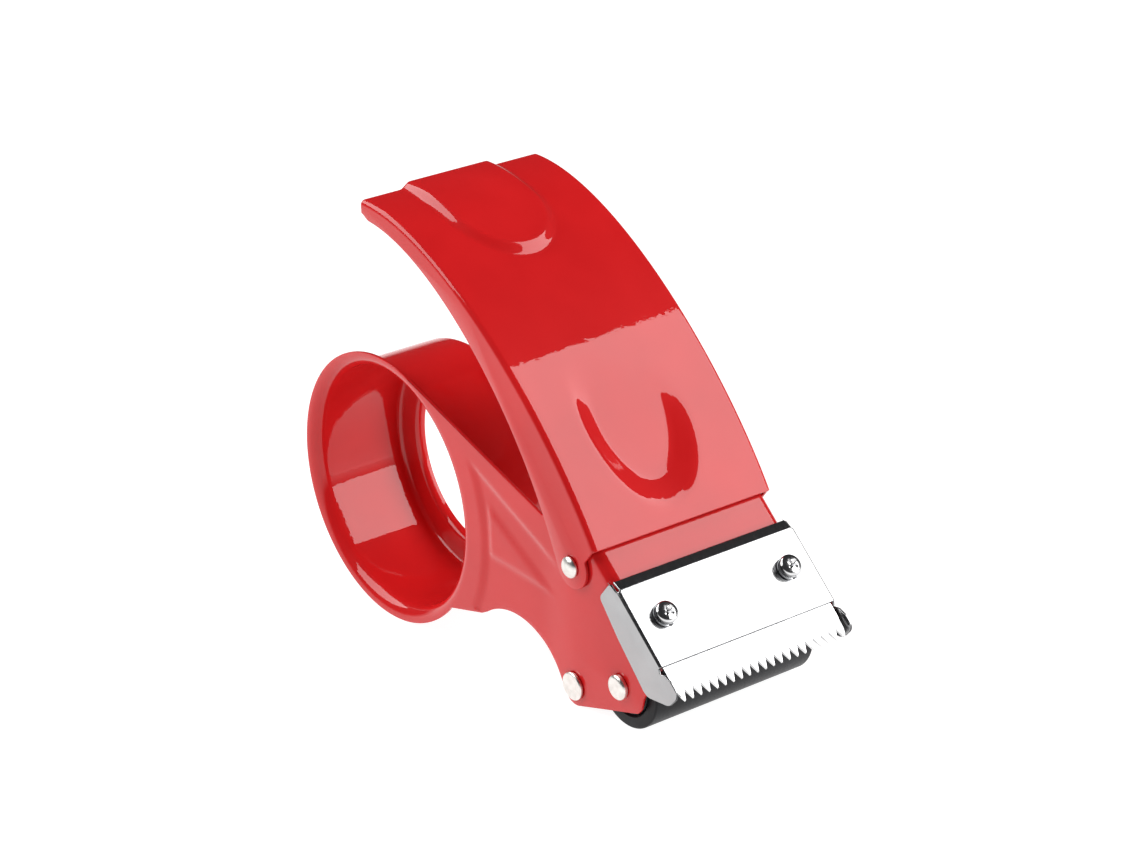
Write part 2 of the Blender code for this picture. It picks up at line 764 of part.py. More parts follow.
tooth_half = half_body - 0.0005
pitch = 2 * tooth_half / TOOTH_COUNT
edge = [(blade_top, -tooth_half), (blade_top, tooth_half)]
for k in range(TOOTH_COUNT):
    y = tooth_half - pitch * k
    edge.append((blade_tip - TOOTH_DEPTH, y - pitch * 0.02))
    edge.append((blade_tip, y - pitch * 0.5))
edge.append((blade_tip - TOOTH_DEPTH, -tooth_half + pitch * 0.02))
blade = prism("cutting_blade", edge, panel_lift, blade_front, blade_back, blade_steel, 20.0)
for side, word in ((-1, "near"), (1, "far")):
    y = side * SCREW_SPACING / 2
    hole = screw_hole("blade_screw_" + word, SCREW_R + GAP, y, -0.001, panel_back)
    cut(blade, hole)

# ---------------------------------------------------------------- screws, washers and nuts

washer_back = -GAP
washer_front = washer_back - 0.0008
head_back = washer_front - GAP
head_front = head_back - 0.0022
nut_front = panel_back + GAP
nut_back = nut_front + 0.0030
screw_end = nut_back + 0.0014


def turned_on_panel(name, profile, y, mat, n=24):
    """Turns a closed (radius, depth behind the cover) profile about a screw's axis."""
    obj = lathe_y(name, profile, 0.0, 0.0, mat, n)
    x, z = slope(SCREW_DOWN, 0.0)
    turn = Matrix(((down.x, -out.x, 0.0), (0.0, 0.0, 1.0), (down.y, -out.y, 0.0)))
    for v in obj.data.vertices:
        v.co = turn @ v.co + Vector((x, y, z))
    obj.data.update()
    return obj


for side, word in ((-1, "near"), (1, "far")):
    y = side * SCREW_SPACING / 2
    profile = [(0, head_front), (SCREW_HEAD_R * 0.62, head_front + 0.00015)]
    profile += [(SCREW_HEAD_R * 0.88, head_front + 0.0006), (SCREW_HEAD_R, head_front + 0.0012)]
    profile += [(SCREW_HEAD_R, head_back), (SCREW_R, head_back), (SCREW_R, screw_end - 0.0003)]
    profile += [(SCREW_R - 0.0003, screw_end), (0, screw_end)]
    screw = turned_on_panel("blade_screw_" + word, profile, y, zinc)
    for k, turn in enumerate((32, 122)):
        arm = [(-0.0021, -0.00035), (0.0021, -0.00035), (0.0021, 0.00035), (-0.0021, 0.00035)]
        c, s = cos(radians(turn)), sin(radians(turn))
        arm = [(SCREW_DOWN + a * c - b * s, y + a * s + b * c) for a, b in arm]
        name = "cutter_cross_" + word + str(k)
        cut(screw, prism(name, arm, panel_lift, head_front - 0.001, head_front + 0.0012, None))

    split = [(SCREW_DOWN + a, y + b) for a, b in arc(0, 0, SCREW_HEAD_R + 0.0002, 12, 348, 28)]
    split += [(SCREW_DOWN + a, y + b) for a, b in arc(0, 0, SCREW_R + GAP, 342, 18, 28)]
    prism("lock_washer_" + word, split, panel_lift, washer_front, washer_back, zinc)

    hexagon = [(SCREW_DOWN + a, y + b) for a, b in ring_points(0.00404, 6, pi / 6)]
    nut = prism("blade_nut_" + word, hexagon, panel_lift, nut_front, nut_back, zinc)
    cut(nut, screw_hole("nut_bore_" + word, SCREW_R + 0.00025, y, 0.0, screw_end + 0.004))
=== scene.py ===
"""Looks of a hand-held packing-tape dispenser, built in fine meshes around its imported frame.

Everything is in metres in the frame's own axes: X forward to the blade, Y from the drum's open
side to the loading side, Z up. Places come from the frame's boxes, and the sizes of the pressed
sheets are the ones that the frame's parts are made with.
"""

from math import acos, atan2, cos, degrees, hypot, pi, radians, sin, tan

import bpy
from mathutils import Matrix, Vector
from mathutils.geometry import delaunay_2d_cdt


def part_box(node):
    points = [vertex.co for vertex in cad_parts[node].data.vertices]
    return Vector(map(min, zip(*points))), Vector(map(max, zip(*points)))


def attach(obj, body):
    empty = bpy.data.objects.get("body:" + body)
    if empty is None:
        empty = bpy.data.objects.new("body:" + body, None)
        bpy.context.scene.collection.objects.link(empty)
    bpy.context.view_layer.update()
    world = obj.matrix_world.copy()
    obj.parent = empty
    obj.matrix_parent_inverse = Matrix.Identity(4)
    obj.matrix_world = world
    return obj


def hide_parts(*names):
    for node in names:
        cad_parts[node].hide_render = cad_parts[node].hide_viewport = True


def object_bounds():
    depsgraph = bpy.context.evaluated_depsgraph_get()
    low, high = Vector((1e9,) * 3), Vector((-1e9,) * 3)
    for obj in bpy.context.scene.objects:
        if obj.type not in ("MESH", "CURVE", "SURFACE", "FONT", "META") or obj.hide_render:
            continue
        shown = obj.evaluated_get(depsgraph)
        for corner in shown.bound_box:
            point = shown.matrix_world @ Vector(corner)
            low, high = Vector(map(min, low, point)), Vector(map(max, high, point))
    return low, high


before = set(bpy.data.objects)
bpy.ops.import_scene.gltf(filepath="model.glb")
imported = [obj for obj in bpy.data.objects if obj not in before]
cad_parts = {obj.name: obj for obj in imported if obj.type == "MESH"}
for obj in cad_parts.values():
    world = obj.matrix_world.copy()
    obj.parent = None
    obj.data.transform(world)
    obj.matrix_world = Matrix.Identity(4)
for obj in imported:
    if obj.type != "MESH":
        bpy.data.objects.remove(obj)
frame_low, frame_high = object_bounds()


def centre(node):
    low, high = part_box(node)
    return (low + high) / 2


# ---------------------------------------------------------------- sizes of the pressed parts

SHEET = 0.0010                 # body and handle steel
GAP = 0.0003                   # between neighbouring pieces
EDGE = 0.00022                 # rounding of a painted sheet's edges

DRUM_OUTER_R = 0.0375
DRUM_DEPTH = 0.0322            # side plate's face to the end flange's far face
FLARE_R = 0.0040               # mouth of the drum
RIM_FLAT = 0.0004              # level edge outside the flare
HUB_HOLE_R = 0.0278            # through hole in the end flange
HUB_LIP = 0.0030               # turned edge of the hole
DRUM_SEGMENTS = 192

HANDLE_HEIGHT = 0.1287         # rear end's top face above the ground
HANDLE_REAR_REACH = 0.1302     # blade tips to the rear end of the handle's curve
HANDLE_OVER_COVER = 0.0124     # cover's top edge to the handle's lower edge, up the slope
HANDLE_BEND_R = 0.0016
HANDLE_FLANGE_REAR = 0.0053
HANDLE_FLANGE_FRONT = 0.0190

PANEL_ANGLE = 46.2             # the front panel's slope, degrees below the horizon
PANEL_BEND_R = 0.0034
PANEL_TOP = 0.0260             # cover's top edge to the panel's top edge, up the slope
COVER_SHEET = 0.0007
COVER_LENGTH = 0.0235
COVER_BEND_R = 0.0010          # outside of the wings' folds
COVER_LIP = 0.0030             # turned-back strip above the cover's top bend
COVER_LIP_ANGLE = 18           # degrees
COVER_LIP_R = 0.0012
COVER_EDGE = 0.00024           # rounding of the cover's edges
BLADE_THICKNESS = 0.0008
BLADE_LENGTH = 0.0305
BLADE_TOP = 0.0035             # cover's top edge to the blade's
BLADE_INSET = 0.0005           # side plate's face to the blade's end
TOOTH_COUNT = 21
TOOTH_DEPTH = 0.0032
SCREW_R = 0.00195
SCREW_HEAD_R = 0.0033
SCREW_DOWN = 0.0105            # cover's top edge to the screws

# ---------------------------------------------------------------- places, from the frame

body_low, body_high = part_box("body_frame")
blade_low, blade_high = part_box("cutting_blade")
half_body = centre("body_frame").y + (body_high.y - body_low.y) / 2
front_x = blade_high.x
rim_r = DRUM_OUTER_R - SHEET + FLARE_R + RIM_FLAT
drum_x = body_low.x + rim_r
drum_z = body_low.z + rim_r

axle = centre("roller_axle")
guide = centre("guide_shaft")
rivet = centre("handle_rivet_near")

down = Vector((cos(radians(PANEL_ANGLE)), -sin(radians(PANEL_ANGLE))))
out = Vector((sin(radians(PANEL_ANGLE)), cos(radians(PANEL_ANGLE))))
blade_front = COVER_SHEET + GAP / 2
blade_back = blade_front + BLADE_THICKNESS
panel_front = blade_back + GAP
panel_back = panel_front + SHEET
blade_tip = BLADE_TOP + BLADE_LENGTH
tip_z = blade_low.z + BLADE_THICKNESS * out.y
cover_corner = Vector((front_x, tip_z)) - down * blade_tip + out * blade_front

handle_half = half_body + GAP + SHEET
cover_half = half_body + GAP + COVER_SHEET


def slope(t, d):
    """A point t down the front panel from the cover's top edge and d behind the cover's face."""
    q = cover_corner + down * t - out * d
    return q.x, q.y


def panel_lift(a, b, h):
    """Outline point a down the panel and b across it, h behind the cover's face."""
    x, z = slope(a, h)
    return x, b, z


def smooth_step(a, b, v):
    k = max(0.0, min(1.0, (v - a) / (b - a)))
    return k * k * (3 - 2 * k)


# ---------------------------------------------------------------- mesh helpers


def into_scene(name, data):
    """A new object with the data, linked into the scene."""
    obj = bpy.data.objects.new(name, data)
    bpy.context.scene.collection.objects.link(obj)
    return obj


def add_mesh(name, verts, faces):
    mesh = bpy.data.meshes.new(name)
    mesh.from_pydata([tuple(v) for v in verts], [], faces)
    mesh.update()
    return into_scene(name, mesh)


def outward(verts, faces):
    """The same faces, turned to look out of the closed solid they bound."""
    volume = 0.0
    for f in faces:
        for k in range(1, len(f) - 1):
            a, b, c = (Vector(verts[f[m]]) for m in (0, k, k + 1))
            volume += a.dot(b.cross(c))
    return [f[::-1] for f in faces] if volume < 0 else faces


def facing(verts, face, direction):
    """The face, turned to look along direction."""
    normal = Vector((0.0, 0.0, 0.0))
    for k in range(len(face)):
        normal += Vector(verts[face[k - 1]]).cross(Vector(verts[face[k]]))
    return face if normal.dot(Vector(direction)) > 0 else face[::-1]


def thicken(obj, thickness):
    """Gives a skin its sheet thickness on the side away from its normals."""
    mod = obj.modifiers.new("sheet", "SOLIDIFY")
    mod.thickness = thickness
    mod.offset = -1.0
    mod.use_even_offset = True
    mod.use_quality_normals = True


def round_edges(obj, width, segments, angle, clamp=True):
    """Rounds the edges that are sharper than an angle in degrees."""
    mod = obj.modifiers.new("edges", "BEVEL")
    mod.width = width
    mod.segments = segments
    mod.limit_method = "ANGLE"
    mod.angle_limit = radians(angle)
    mod.use_clamp_overlap = clamp
    mod.harden_normals = False


def cut(obj, tool):
    """Cuts the closed tool out of obj; the tool is removed when obj is settled."""
    mod = obj.modifiers.new("cut " + tool.name, "BOOLEAN")
    mod.operation = "DIFFERENCE"
    mod.solver = "EXACT"
    mod.object = tool


def settle(obj, sharp=38.0):
    """Applies the object's modifiers, drops its cutters and sets its smooth shading."""
    tools = [m.object for m in obj.modifiers if m.type == "BOOLEAN"]
    shape = bpy.data.meshes.new_from_object(
        obj.evaluated_get(bpy.context.evaluated_depsgraph_get())
    )
    obj.modifiers.clear()
    obj.data = shape
    for tool in tools:
        bpy.data.objects.remove(tool, do_unlink=True)
    shape.shade_smooth()
    shape.set_sharp_from_angle(angle=radians(sharp))
    return obj


def place(obj, mat, body, slot, *nodes):
    """Gives a finished piece its material and the body it rides on, and hides the CAD nodes it stands
    for.
    """
    obj.data.materials.clear()
    obj.data.materials.append(mat)
    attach(obj, body)
    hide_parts(*nodes)
    return obj


def ring_points(r, n):
    return [(r * cos(2 * pi * i / n), r * sin(2 * pi * i / n)) for i in range(n)]


def lathe_y(name, profile, x, z, n):
    """Turns a closed (radius, y) profile about an axis along Y; radius 0 closes on the axis."""
    verts = []
    rows = []
    for r, y in profile:
        if r < 1e-9:
            rows.append([len(verts)] * n)
            verts.append((x, y, z))
        else:
            rows.append([len(verts) + i for i in range(n)])
            verts += [(x + a, y, z + b) for a, b in ring_points(r, n)]
    faces = []
    for k in range(len(rows)):
        a = rows[k]
        b = rows[(k + 1) % len(rows)]
        if a[0] == a[1] and b[0] == b[1]:
            continue
        for i in range(n):
            j = (i + 1) % n
            loop = [a[i], a[j], b[j], b[i]]
            faces.append([v for m, v in enumerate(loop) if v != loop[m - 1]])
    return add_mesh(name, verts, outward(verts, faces))


def prism(name, outline, lift, low, high):
    """Extrudes a 2-D outline; lift(a, b, h) places outline point (a, b) at height h."""
    n = len(outline)
    verts = [lift(a, b, low) for a, b in outline] + [lift(a, b, high) for a, b in outline]
    faces = [list(range(n)), list(range(2 * n - 1, n - 1, -1))]
    faces += [[(i + 1) % n, i, n + i, n + (i + 1) % n] for i in range(n)]
    return add_mesh(name, verts, outward(verts, faces))


def rounded(corners, steps=10):
    """A closed outline through (x, y, radius) corners, each rounded by its own radius."""
    points = []
    n = len(corners)
    for i, (x, y, r) in enumerate(corners):
        here = Vector((x, y))
        before = (Vector(corners[i - 1][:2]) - here).normalized()
        after = (Vector(corners[(i + 1) % n][:2]) - here).normalized()
        half = acos(max(-1.0, min(1.0, before.dot(after)))) / 2
        if r <= 0 or half > radians(89):
            points.append((x, y))
            continue
        reach = r / tan(half)
        middle = here + (before + after).normalized() * (r / sin(half))
        start = here + before * reach - middle
        turn = start.angle_signed(here + after * reach - middle)
        for k in range(steps + 1):
            spoke = start.copy()
            spoke.rotate(Matrix.Rotation(-turn * k / steps, 2))
            points.append((middle.x + spoke.x, middle.y + spoke.y))
    return points


def arc(cx, cz, r, a0, a1, steps):
    """Points on a circle from angle a0 to a1 in degrees, both ends included."""
    angles = [radians(a0 + (a1 - a0) * k / steps) for k in range(steps + 1)]
    return [(cx + r * cos(a), cz + r * sin(a)) for a in angles]


# ---------------------------------------------------------------- materials


class Finish:
    """A material under construction: its node tree, its shader and a few shorthands."""

    def __init__(self, name, colour, metallic, roughness):
        self.mat = bpy.data.materials.new(name)
        self.mat.use_nodes = True
        self.tree = self.mat.node_tree
        self.shader = self.tree.nodes["Principled BSDF"]
        self.set("Base Color", (*colour, 1.0))
        self.set("Metallic", metallic)
        self.set("Roughness", roughness)
        self.coords = self.node("ShaderNodeTexCoord").outputs["Object"]

    def set(self, socket, value):
        self.shader.inputs[socket].default_value = value

    def node(self, kind, **values):
        made = self.tree.nodes.new(kind)
        for key, value in values.items():
            setattr(made, key, value)
        return made

    def link(self, a, b):
        self.tree.links.new(a, b)

    def stretched(self, scale):
        """Object coordinates scaled by a vector, for grain that runs one way."""
        mapping = self.node("ShaderNodeMapping")
        mapping.inputs["Scale"].default_value = scale
        self.link(self.coords, mapping.inputs["Vector"])
        return mapping.outputs["Vector"]

    def noise(self, scale, detail=3.0, coords=None):
        made = self.node("ShaderNodeTexNoise")
        made.inputs["Scale"].default_value = scale
        made.inputs["Detail"].default_value = detail
        self.link(coords or self.coords, made.inputs["Vector"])
        return made.outputs["Fac"]

    def span(self, value, a, b, low=0.0, high=1.0):
        """The value's range a..b mapped onto low..high."""
        made = self.node("ShaderNodeMapRange")
        for key, number in zip(("From Min", "From Max", "To Min", "To Max"), (a, b, low, high)):
            made.inputs[key].default_value = number
        self.link(value, made.inputs["Value"])
        return made.outputs["Result"]

    def times(self, a, b):
        made = self.node("ShaderNodeMath", operation="MULTIPLY")
        self.link(a, made.inputs[0])
        self.link(b, made.inputs[1])
        return made.outputs[0]

    def blend(self, fac, a, b):
        """Mixes colour a (a value or a socket) with colour b by fac."""
        made = self.node("ShaderNodeMix", data_type="RGBA")
        self.link(fac, made.inputs["Factor"])
        for socket, colour in ((made.inputs["A"], a), (made.inputs["B"], b)):
            if isinstance(colour, tuple):
                socket.default_value = (*colour, 1.0)
            else:
                self.link(colour, socket)
        return made.outputs["Result"]

    def bump(self, height, distance, under=None):
        """A bumped normal, on top of another one if it is given."""
        made = self.node("ShaderNodeBump")
        made.inputs["Strength"].default_value = 1.0
        made.inputs["Distance"].default_value = distance
        self.link(height, made.inputs["Height"])
        if under is not None:
            self.link(under, made.inputs["Normal"])
        return made.outputs["Normal"]

    def edges(self, low, high):
        """1 on convex edges, 0 on flats and in hollows."""
        point = self.node("ShaderNodeNewGeometry").outputs["Pointiness"]
        return self.span(point, low, high)

    def towards(self, x, y, z):
        """How squarely the surface faces a fixed direction."""
        made = self.node("ShaderNodeVectorMath", operation="DOT_PRODUCT")
        self.link(self.node("ShaderNodeNewGeometry").outputs["True Normal"], made.inputs[0])
        made.inputs[1].default_value = (x, y, z)
        return made.outputs["Value"]

    def use(self, socket, value):
        self.link(value, self.shader.inputs[socket])


def red_enamel():
    """Glossy baked enamel with a faint orange peel, thin on the sheet's edges."""
    f = Finish("red_enamel", (0.62, 0.012, 0.016), 0.0, 0.50)
    f.set("Specular IOR Level", 0.05)
    f.set("Coat Weight", 0.88)
    f.set("Coat Roughness", 0.02)
    f.set("Coat IOR", 1.5)
    depth = f.span(f.noise(38.0, 2.0), 0.35, 0.65)
    colour = f.blend(depth, (0.585, 0.0092, 0.0105), (0.635, 0.0112, 0.0125))
    worn = f.times(f.edges(0.54, 0.62), f.span(f.noise(900.0, 4.0), 0.52, 0.66))
    f.use("Base Color", f.blend(worn, colour, (0.16, 0.020, 0.020)))
    f.use("Roughness", f.span(f.noise(160.0), 0.3, 0.7, 0.45, 0.55))
    peel = f.bump(f.noise(430.0, 2.0), 0.000017)
    f.use("Normal", peel)
    f.use("Coat Normal", peel)
    return f.mat


def nickel_plate():
    """Bright nickel over rolled sheet with fine lines down the slope; its lower cut edges are painted
    near black as shade of the gap under them.
    """
    f = Finish("nickel_plate", (0.46, 0.46, 0.465), 1.0, 0.20)
    lines = f.noise(1.0, 4.0, f.stretched((420.0, 3600.0, 420.0)))
    patches = f.span(f.noise(70.0), 0.3, 0.7)
    tone = f.blend(patches, (0.44, 0.44, 0.445), (0.38, 0.38, 0.385))
    plated = f.blend(f.edges(0.53, 0.60), tone, (0.76, 0.76, 0.76))
    # Faces that look down the slope, the cover's lower cut edges, get a near-black colour: painted shade
    # of the gap under them.
    painted_shade_lower_edges = f.span(f.towards(down.x, 0.0, down.y), 0.30, 0.60)
    f.use("Base Color", f.blend(painted_shade_lower_edges, plated, (0.07, 0.07, 0.075)))
    f.use("Roughness", f.span(lines, 0.3, 0.7, 0.15, 0.25))
    f.use("Normal", f.bump(lines, 0.0000012))
    return f.mat


def blade_steel():
    """Ground spring steel: cross-ground lines and a lighter worn tooth edge."""
    f = Finish("blade_steel", (0.74, 0.74, 0.745), 1.0, 0.22)
    lines = f.noise(1.0, 5.0, f.stretched((300.0, 5200.0, 300.0)))
    patches = f.span(f.noise(110.0), 0.3, 0.7)
    tone = f.blend(patches, (0.56, 0.56, 0.565), (0.48, 0.48, 0.49))
    f.use("Base Color", f.blend(f.edges(0.53, 0.62), tone, (0.95, 0.95, 0.95)))
    f.use("Roughness", f.span(lines, 0.3, 0.7, 0.16, 0.28))
    f.use("Normal", f.bump(lines, 0.000002))
    return f.mat


def zinc_plate(name, bright, dull, low, high):
    """Plated steel fastenings, tumbled before plating; their roughness runs from low to high."""
    f = Finish(name, bright, 1.0, (low + high) / 2)
    patches = f.span(f.noise(520.0), 0.35, 0.65)
    f.use("Base Color", f.blend(patches, bright, dull))
    f.use("Roughness", f.span(f.noise(900.0), 0.3, 0.7, low, high))
    f.use("Normal", f.bump(f.noise(1500.0), 0.000004))
    return f.mat


def black_rubber():
    """Ground rubber: fine turning marks round the roller and a dusty bloom."""
    f = Finish("black_rubber", (0.014, 0.014, 0.016), 0.0, 0.42)
    f.set("Specular IOR Level", 0.20)
    rings = f.noise(1.0, 4.0, f.stretched((60.0, 5200.0, 60.0)))
    grain = f.noise(2400.0)
    bloom = f.span(f.noise(180.0, 4.0), 0.35, 0.70)
    f.use("Base Color", f.blend(bloom, (0.006, 0.006, 0.0075), (0.012, 0.0125, 0.015)))
    f.use("Roughness", f.span(grain, 0.3, 0.7, 0.34, 0.50))
    turned = f.bump(rings, 0.000020)
    f.use("Normal", f.bump(grain, 0.000008, under=turned))
    return f.mat


def black_plastic():
    """Moulded black plastic with a fine matt grain."""
    f = Finish("black_plastic", (0.020, 0.020, 0.022), 0.0, 0.45)
    grain = f.noise(2200.0)
    f.use("Base Color", f.blend(f.noise(200.0), (0.017, 0.017, 0.019), (0.026, 0.026, 0.029)))
    f.use("Roughness", f.span(grain, 0.3, 0.7, 0.38, 0.52))
    f.use("Normal", f.bump(grain, 0.000010))
    return f.mat


enamel = red_enamel()
nickel = nickel_plate()
steel = blade_steel()
rivet_plate = zinc_plate("rivet_plate", (0.86, 0.83, 0.79), (0.74, 0.71, 0.67), 0.26, 0.38)
screw_plate = zinc_plate("screw_plate", (0.80, 0.80, 0.80), (0.66, 0.66, 0.67), 0.10, 0.20)
zinc = zinc_plate("zinc_plate", (0.72, 0.73, 0.75), (0.58, 0.59, 0.61), 0.25, 0.40)
rubber = black_rubber()
plastic = black_plastic()

# ---------------------------------------------------------------- body: one pressed sheet

# The straight upper edge runs from the plate's brow to where it just touches the drum's rim.
brow = (rivet.x - 0.0138, rivet.z + 0.0108)
touch_angle = atan2(brow[1] - drum_z, brow[0] - drum_x)
touch_angle += acos(rim_r / hypot(brow[0] - drum_x, brow[1] - drum_z))
RIM_TOP = int(touch_angle / (2 * pi / DRUM_SEGMENTS))
RIM_BOTTOM = -DRUM_SEGMENTS // 8
GUIDE_CORNER_R = 0.0060        # plate's corner round the guide shaft
FOOT_ANGLE = 14.5              # rise of the plate's lower edge, degrees
FIELD_DEPTH = 0.0007           # pressed field beside the drum
FIELD_GRID = 0.0011            # spacing of the points that carry it
FIELD_CLEAR = 0.0030           # drum's rim to the first of these points
FIELD_START = 0.0058           # drum's rim to where the field begins to sink
FIELD_FULL = 0.0088            # drum's rim to its full depth
FIELD_FADE = 0.0160            # length of its run-out towards the front
MARGIN_EASE = 0.0013           # half the width of the slope at the field's upper margin
RIB_EASE = 0.0024              # width of the slope round the field's rib
bend_line = panel_front + PANEL_BEND_R
field_front = rivet.x - 0.0020
rib_nose = (field_front - 0.0060, guide.z + 0.0235)
rib_root_x = drum_x + rim_r + 0.0090
rib_root = ((rib_root_x, drum_z + 0.0100), (rib_root_x - 0.0010, drum_z - 0.0075))
margin_rear = (drum_x + 0.0447, drum_z + 0.0189)
margin_front = (margin_rear[0] + 0.0199, margin_rear[1] - 0.0105)


def side_outline(near):
    """The side plate's outline in XZ from the panel's top, round the rear, to its foot."""
    top = slope(-PANEL_TOP, bend_line)
    arch_x = guide.x - 0.0277
    arch_z = 0.0193
    arch_start = 122           # degrees
    rise = guide.z - arch_z
    reach = guide.x - arch_x
    arch_r = (reach**2 + rise**2 - GUIDE_CORNER_R**2) / (2 * (GUIDE_CORNER_R - rise))
    touch = degrees(atan2(rise + arch_r, reach))
    heel = arc(guide.x, guide.z, GUIDE_CORNER_R, 180 + touch, 270 + FOOT_ANGLE, 24)
    toe = [
        (axle.x + 0.0068, axle.z - 0.0060),
        (axle.x + 0.0084, axle.z - 0.0044),
        (axle.x + 0.0095, axle.z - 0.0010),
    ]
    if near:
        arch = arc(arch_x, arch_z - arch_r, arch_r, arch_start, touch, 40)
        return top, [brow], [(arch[0][0] - 0.0026, arch[0][1] - 0.0012)] + arch[:-1] + heel + toe
    rear = (guide.x - 0.0105, guide.z + 0.0140)
    return top, [brow, (brow[0] - 0.0012, brow[1] - 0.0040)], [rear] + heel[1:] + toe


def side_of(p, a, b):
    """Distance of p to the left of the line from a to b."""
    run = hypot(b[0] - a[0], b[1] - a[1])
    return ((b[0] - a[0]) * (p[1] - a[1]) - (b[1] - a[1]) * (p[0] - a[0])) / run


def plate_recess(x, z):
    """Depth of the pressed field beside the drum; its margins and its rib stay level."""
    p = (x, z)
    field = smooth_step(rim_r + FIELD_START, rim_r + FIELD_FULL, hypot(x - drum_x, z - drum_z))
    field *= 1 - smooth_step(field_front - FIELD_FADE, field_front, x)
    field *= smooth_step(-MARGIN_EASE, MARGIN_EASE, side_of(p, margin_front, margin_rear))
    inset = min(
        side_of(p, rib_root[0], rib_root[1]),
        side_of(p, rib_root[1], rib_nose),
        side_of(p, rib_nose, rib_root[0]),
    )
    return FIELD_DEPTH * field * (1 - smooth_step(0.0, RIB_EASE, inset))


class Skin:
    """Vertices and faces of a skin as it is put together."""

    def __init__(self):
        self.verts = []
        self.faces = []

    def put(self, x, y, z):
        self.verts.append((x, y, z))
        return len(self.verts) - 1

    def face(self, ids, direction):
        self.faces.append(facing(self.verts, ids, direction))


def fill_plate(skin, loop):
    """Fills the near side plate between its outline vertices, with the pressed field in it."""
    outline = [Vector((skin.verts[i][0], skin.verts[i][2])) for i in loop]
    n = len(loop)
    xs = [q.x for q in outline]
    zs = [q.y for q in outline]
    spans = list(zip(outline, outline[1:] + outline[:1]))
    points = list(outline)
    for a in range(int((max(xs) - min(xs)) / FIELD_GRID)):
        for b in range(int((max(zs) - min(zs)) / FIELD_GRID)):
            x = min(xs) + FIELD_GRID * (a + 0.5 + 0.5 * (b % 2))
            z = min(zs) + FIELD_GRID * (b + 0.5)
            if x > field_front or hypot(x - drum_x, z - drum_z) < rim_r + FIELD_CLEAR:
                continue
            q = Vector((x, z))
            crossings = 0
            near_edge = False
            for u, v in spans:
                if (u.y > z) != (v.y > z) and x < u.x + (z - u.y) * (v.x - u.x) / (v.y - u.y):
                    crossings += 1
                k = max(0.0, min(1.0, (q - u).dot(v - u) / max((v - u).length_squared, 1e-12)))
                near_edge = near_edge or (u + (v - u) * k - q).length < FIELD_GRID * 0.6
            if crossings % 2 == 1 and not near_edge:
                points.append(q)
    rim = [(k, (k + 1) % n) for k in range(n)]
    placed, _, triangles, origins, _, _ = delaunay_2d_cdt(points, rim, [], 1, 1e-7)
    ids = []
    for q, source in zip(placed, origins):
        if source and source[0] < n:
            ids.append(loop[source[0]])
            x, y, z = skin.verts[ids[-1]]
            skin.verts[ids[-1]] = (x, -half_body + plate_recess(x, z), z)
        else:
            ids.append(skin.put(q.x, -half_body + plate_recess(q.x, q.y), q.y))
    for triangle in triangles:
        skin.face([ids[k] for k in triangle], (0, -1, 0))


def drum_profile():
    """The drum's skin as (radius, y), from the side plate's face to the lip of the hub hole."""
    wall_r = DRUM_OUTER_R - SHEET
    flange_y = -half_body + DRUM_DEPTH - SHEET
    corner_r = 0.0016
    lip_r = 0.0010 + SHEET
    corner_room = 0.0040
    wall = DRUM_DEPTH - FLARE_R - corner_room
    wall_steps = 8
    profile = [(rim_r, -half_body)]
    for a in range(0, 91, 6):
        s, c = sin(radians(a)), cos(radians(a))
        profile.append((wall_r + FLARE_R * (1 - s), -half_body + FLARE_R * (1 - c)))
    for k in range(1, wall_steps):
        profile.append((wall_r, -half_body + FLARE_R + wall * k / wall_steps))
    for a in range(0, 91, 10):
        s, c = sin(radians(a)), cos(radians(a))
        profile.append((wall_r - corner_r * (1 - c), flange_y - corner_r * (1 - s)))
    for a in range(0, 91, 10):
        s, c = sin(radians(a)), cos(radians(a))
        profile.append((HUB_HOLE_R + lip_r * (1 - s), flange_y + lip_r * (1 - c)))
    profile.append((HUB_HOLE_R, flange_y + HUB_LIP))
    return profile


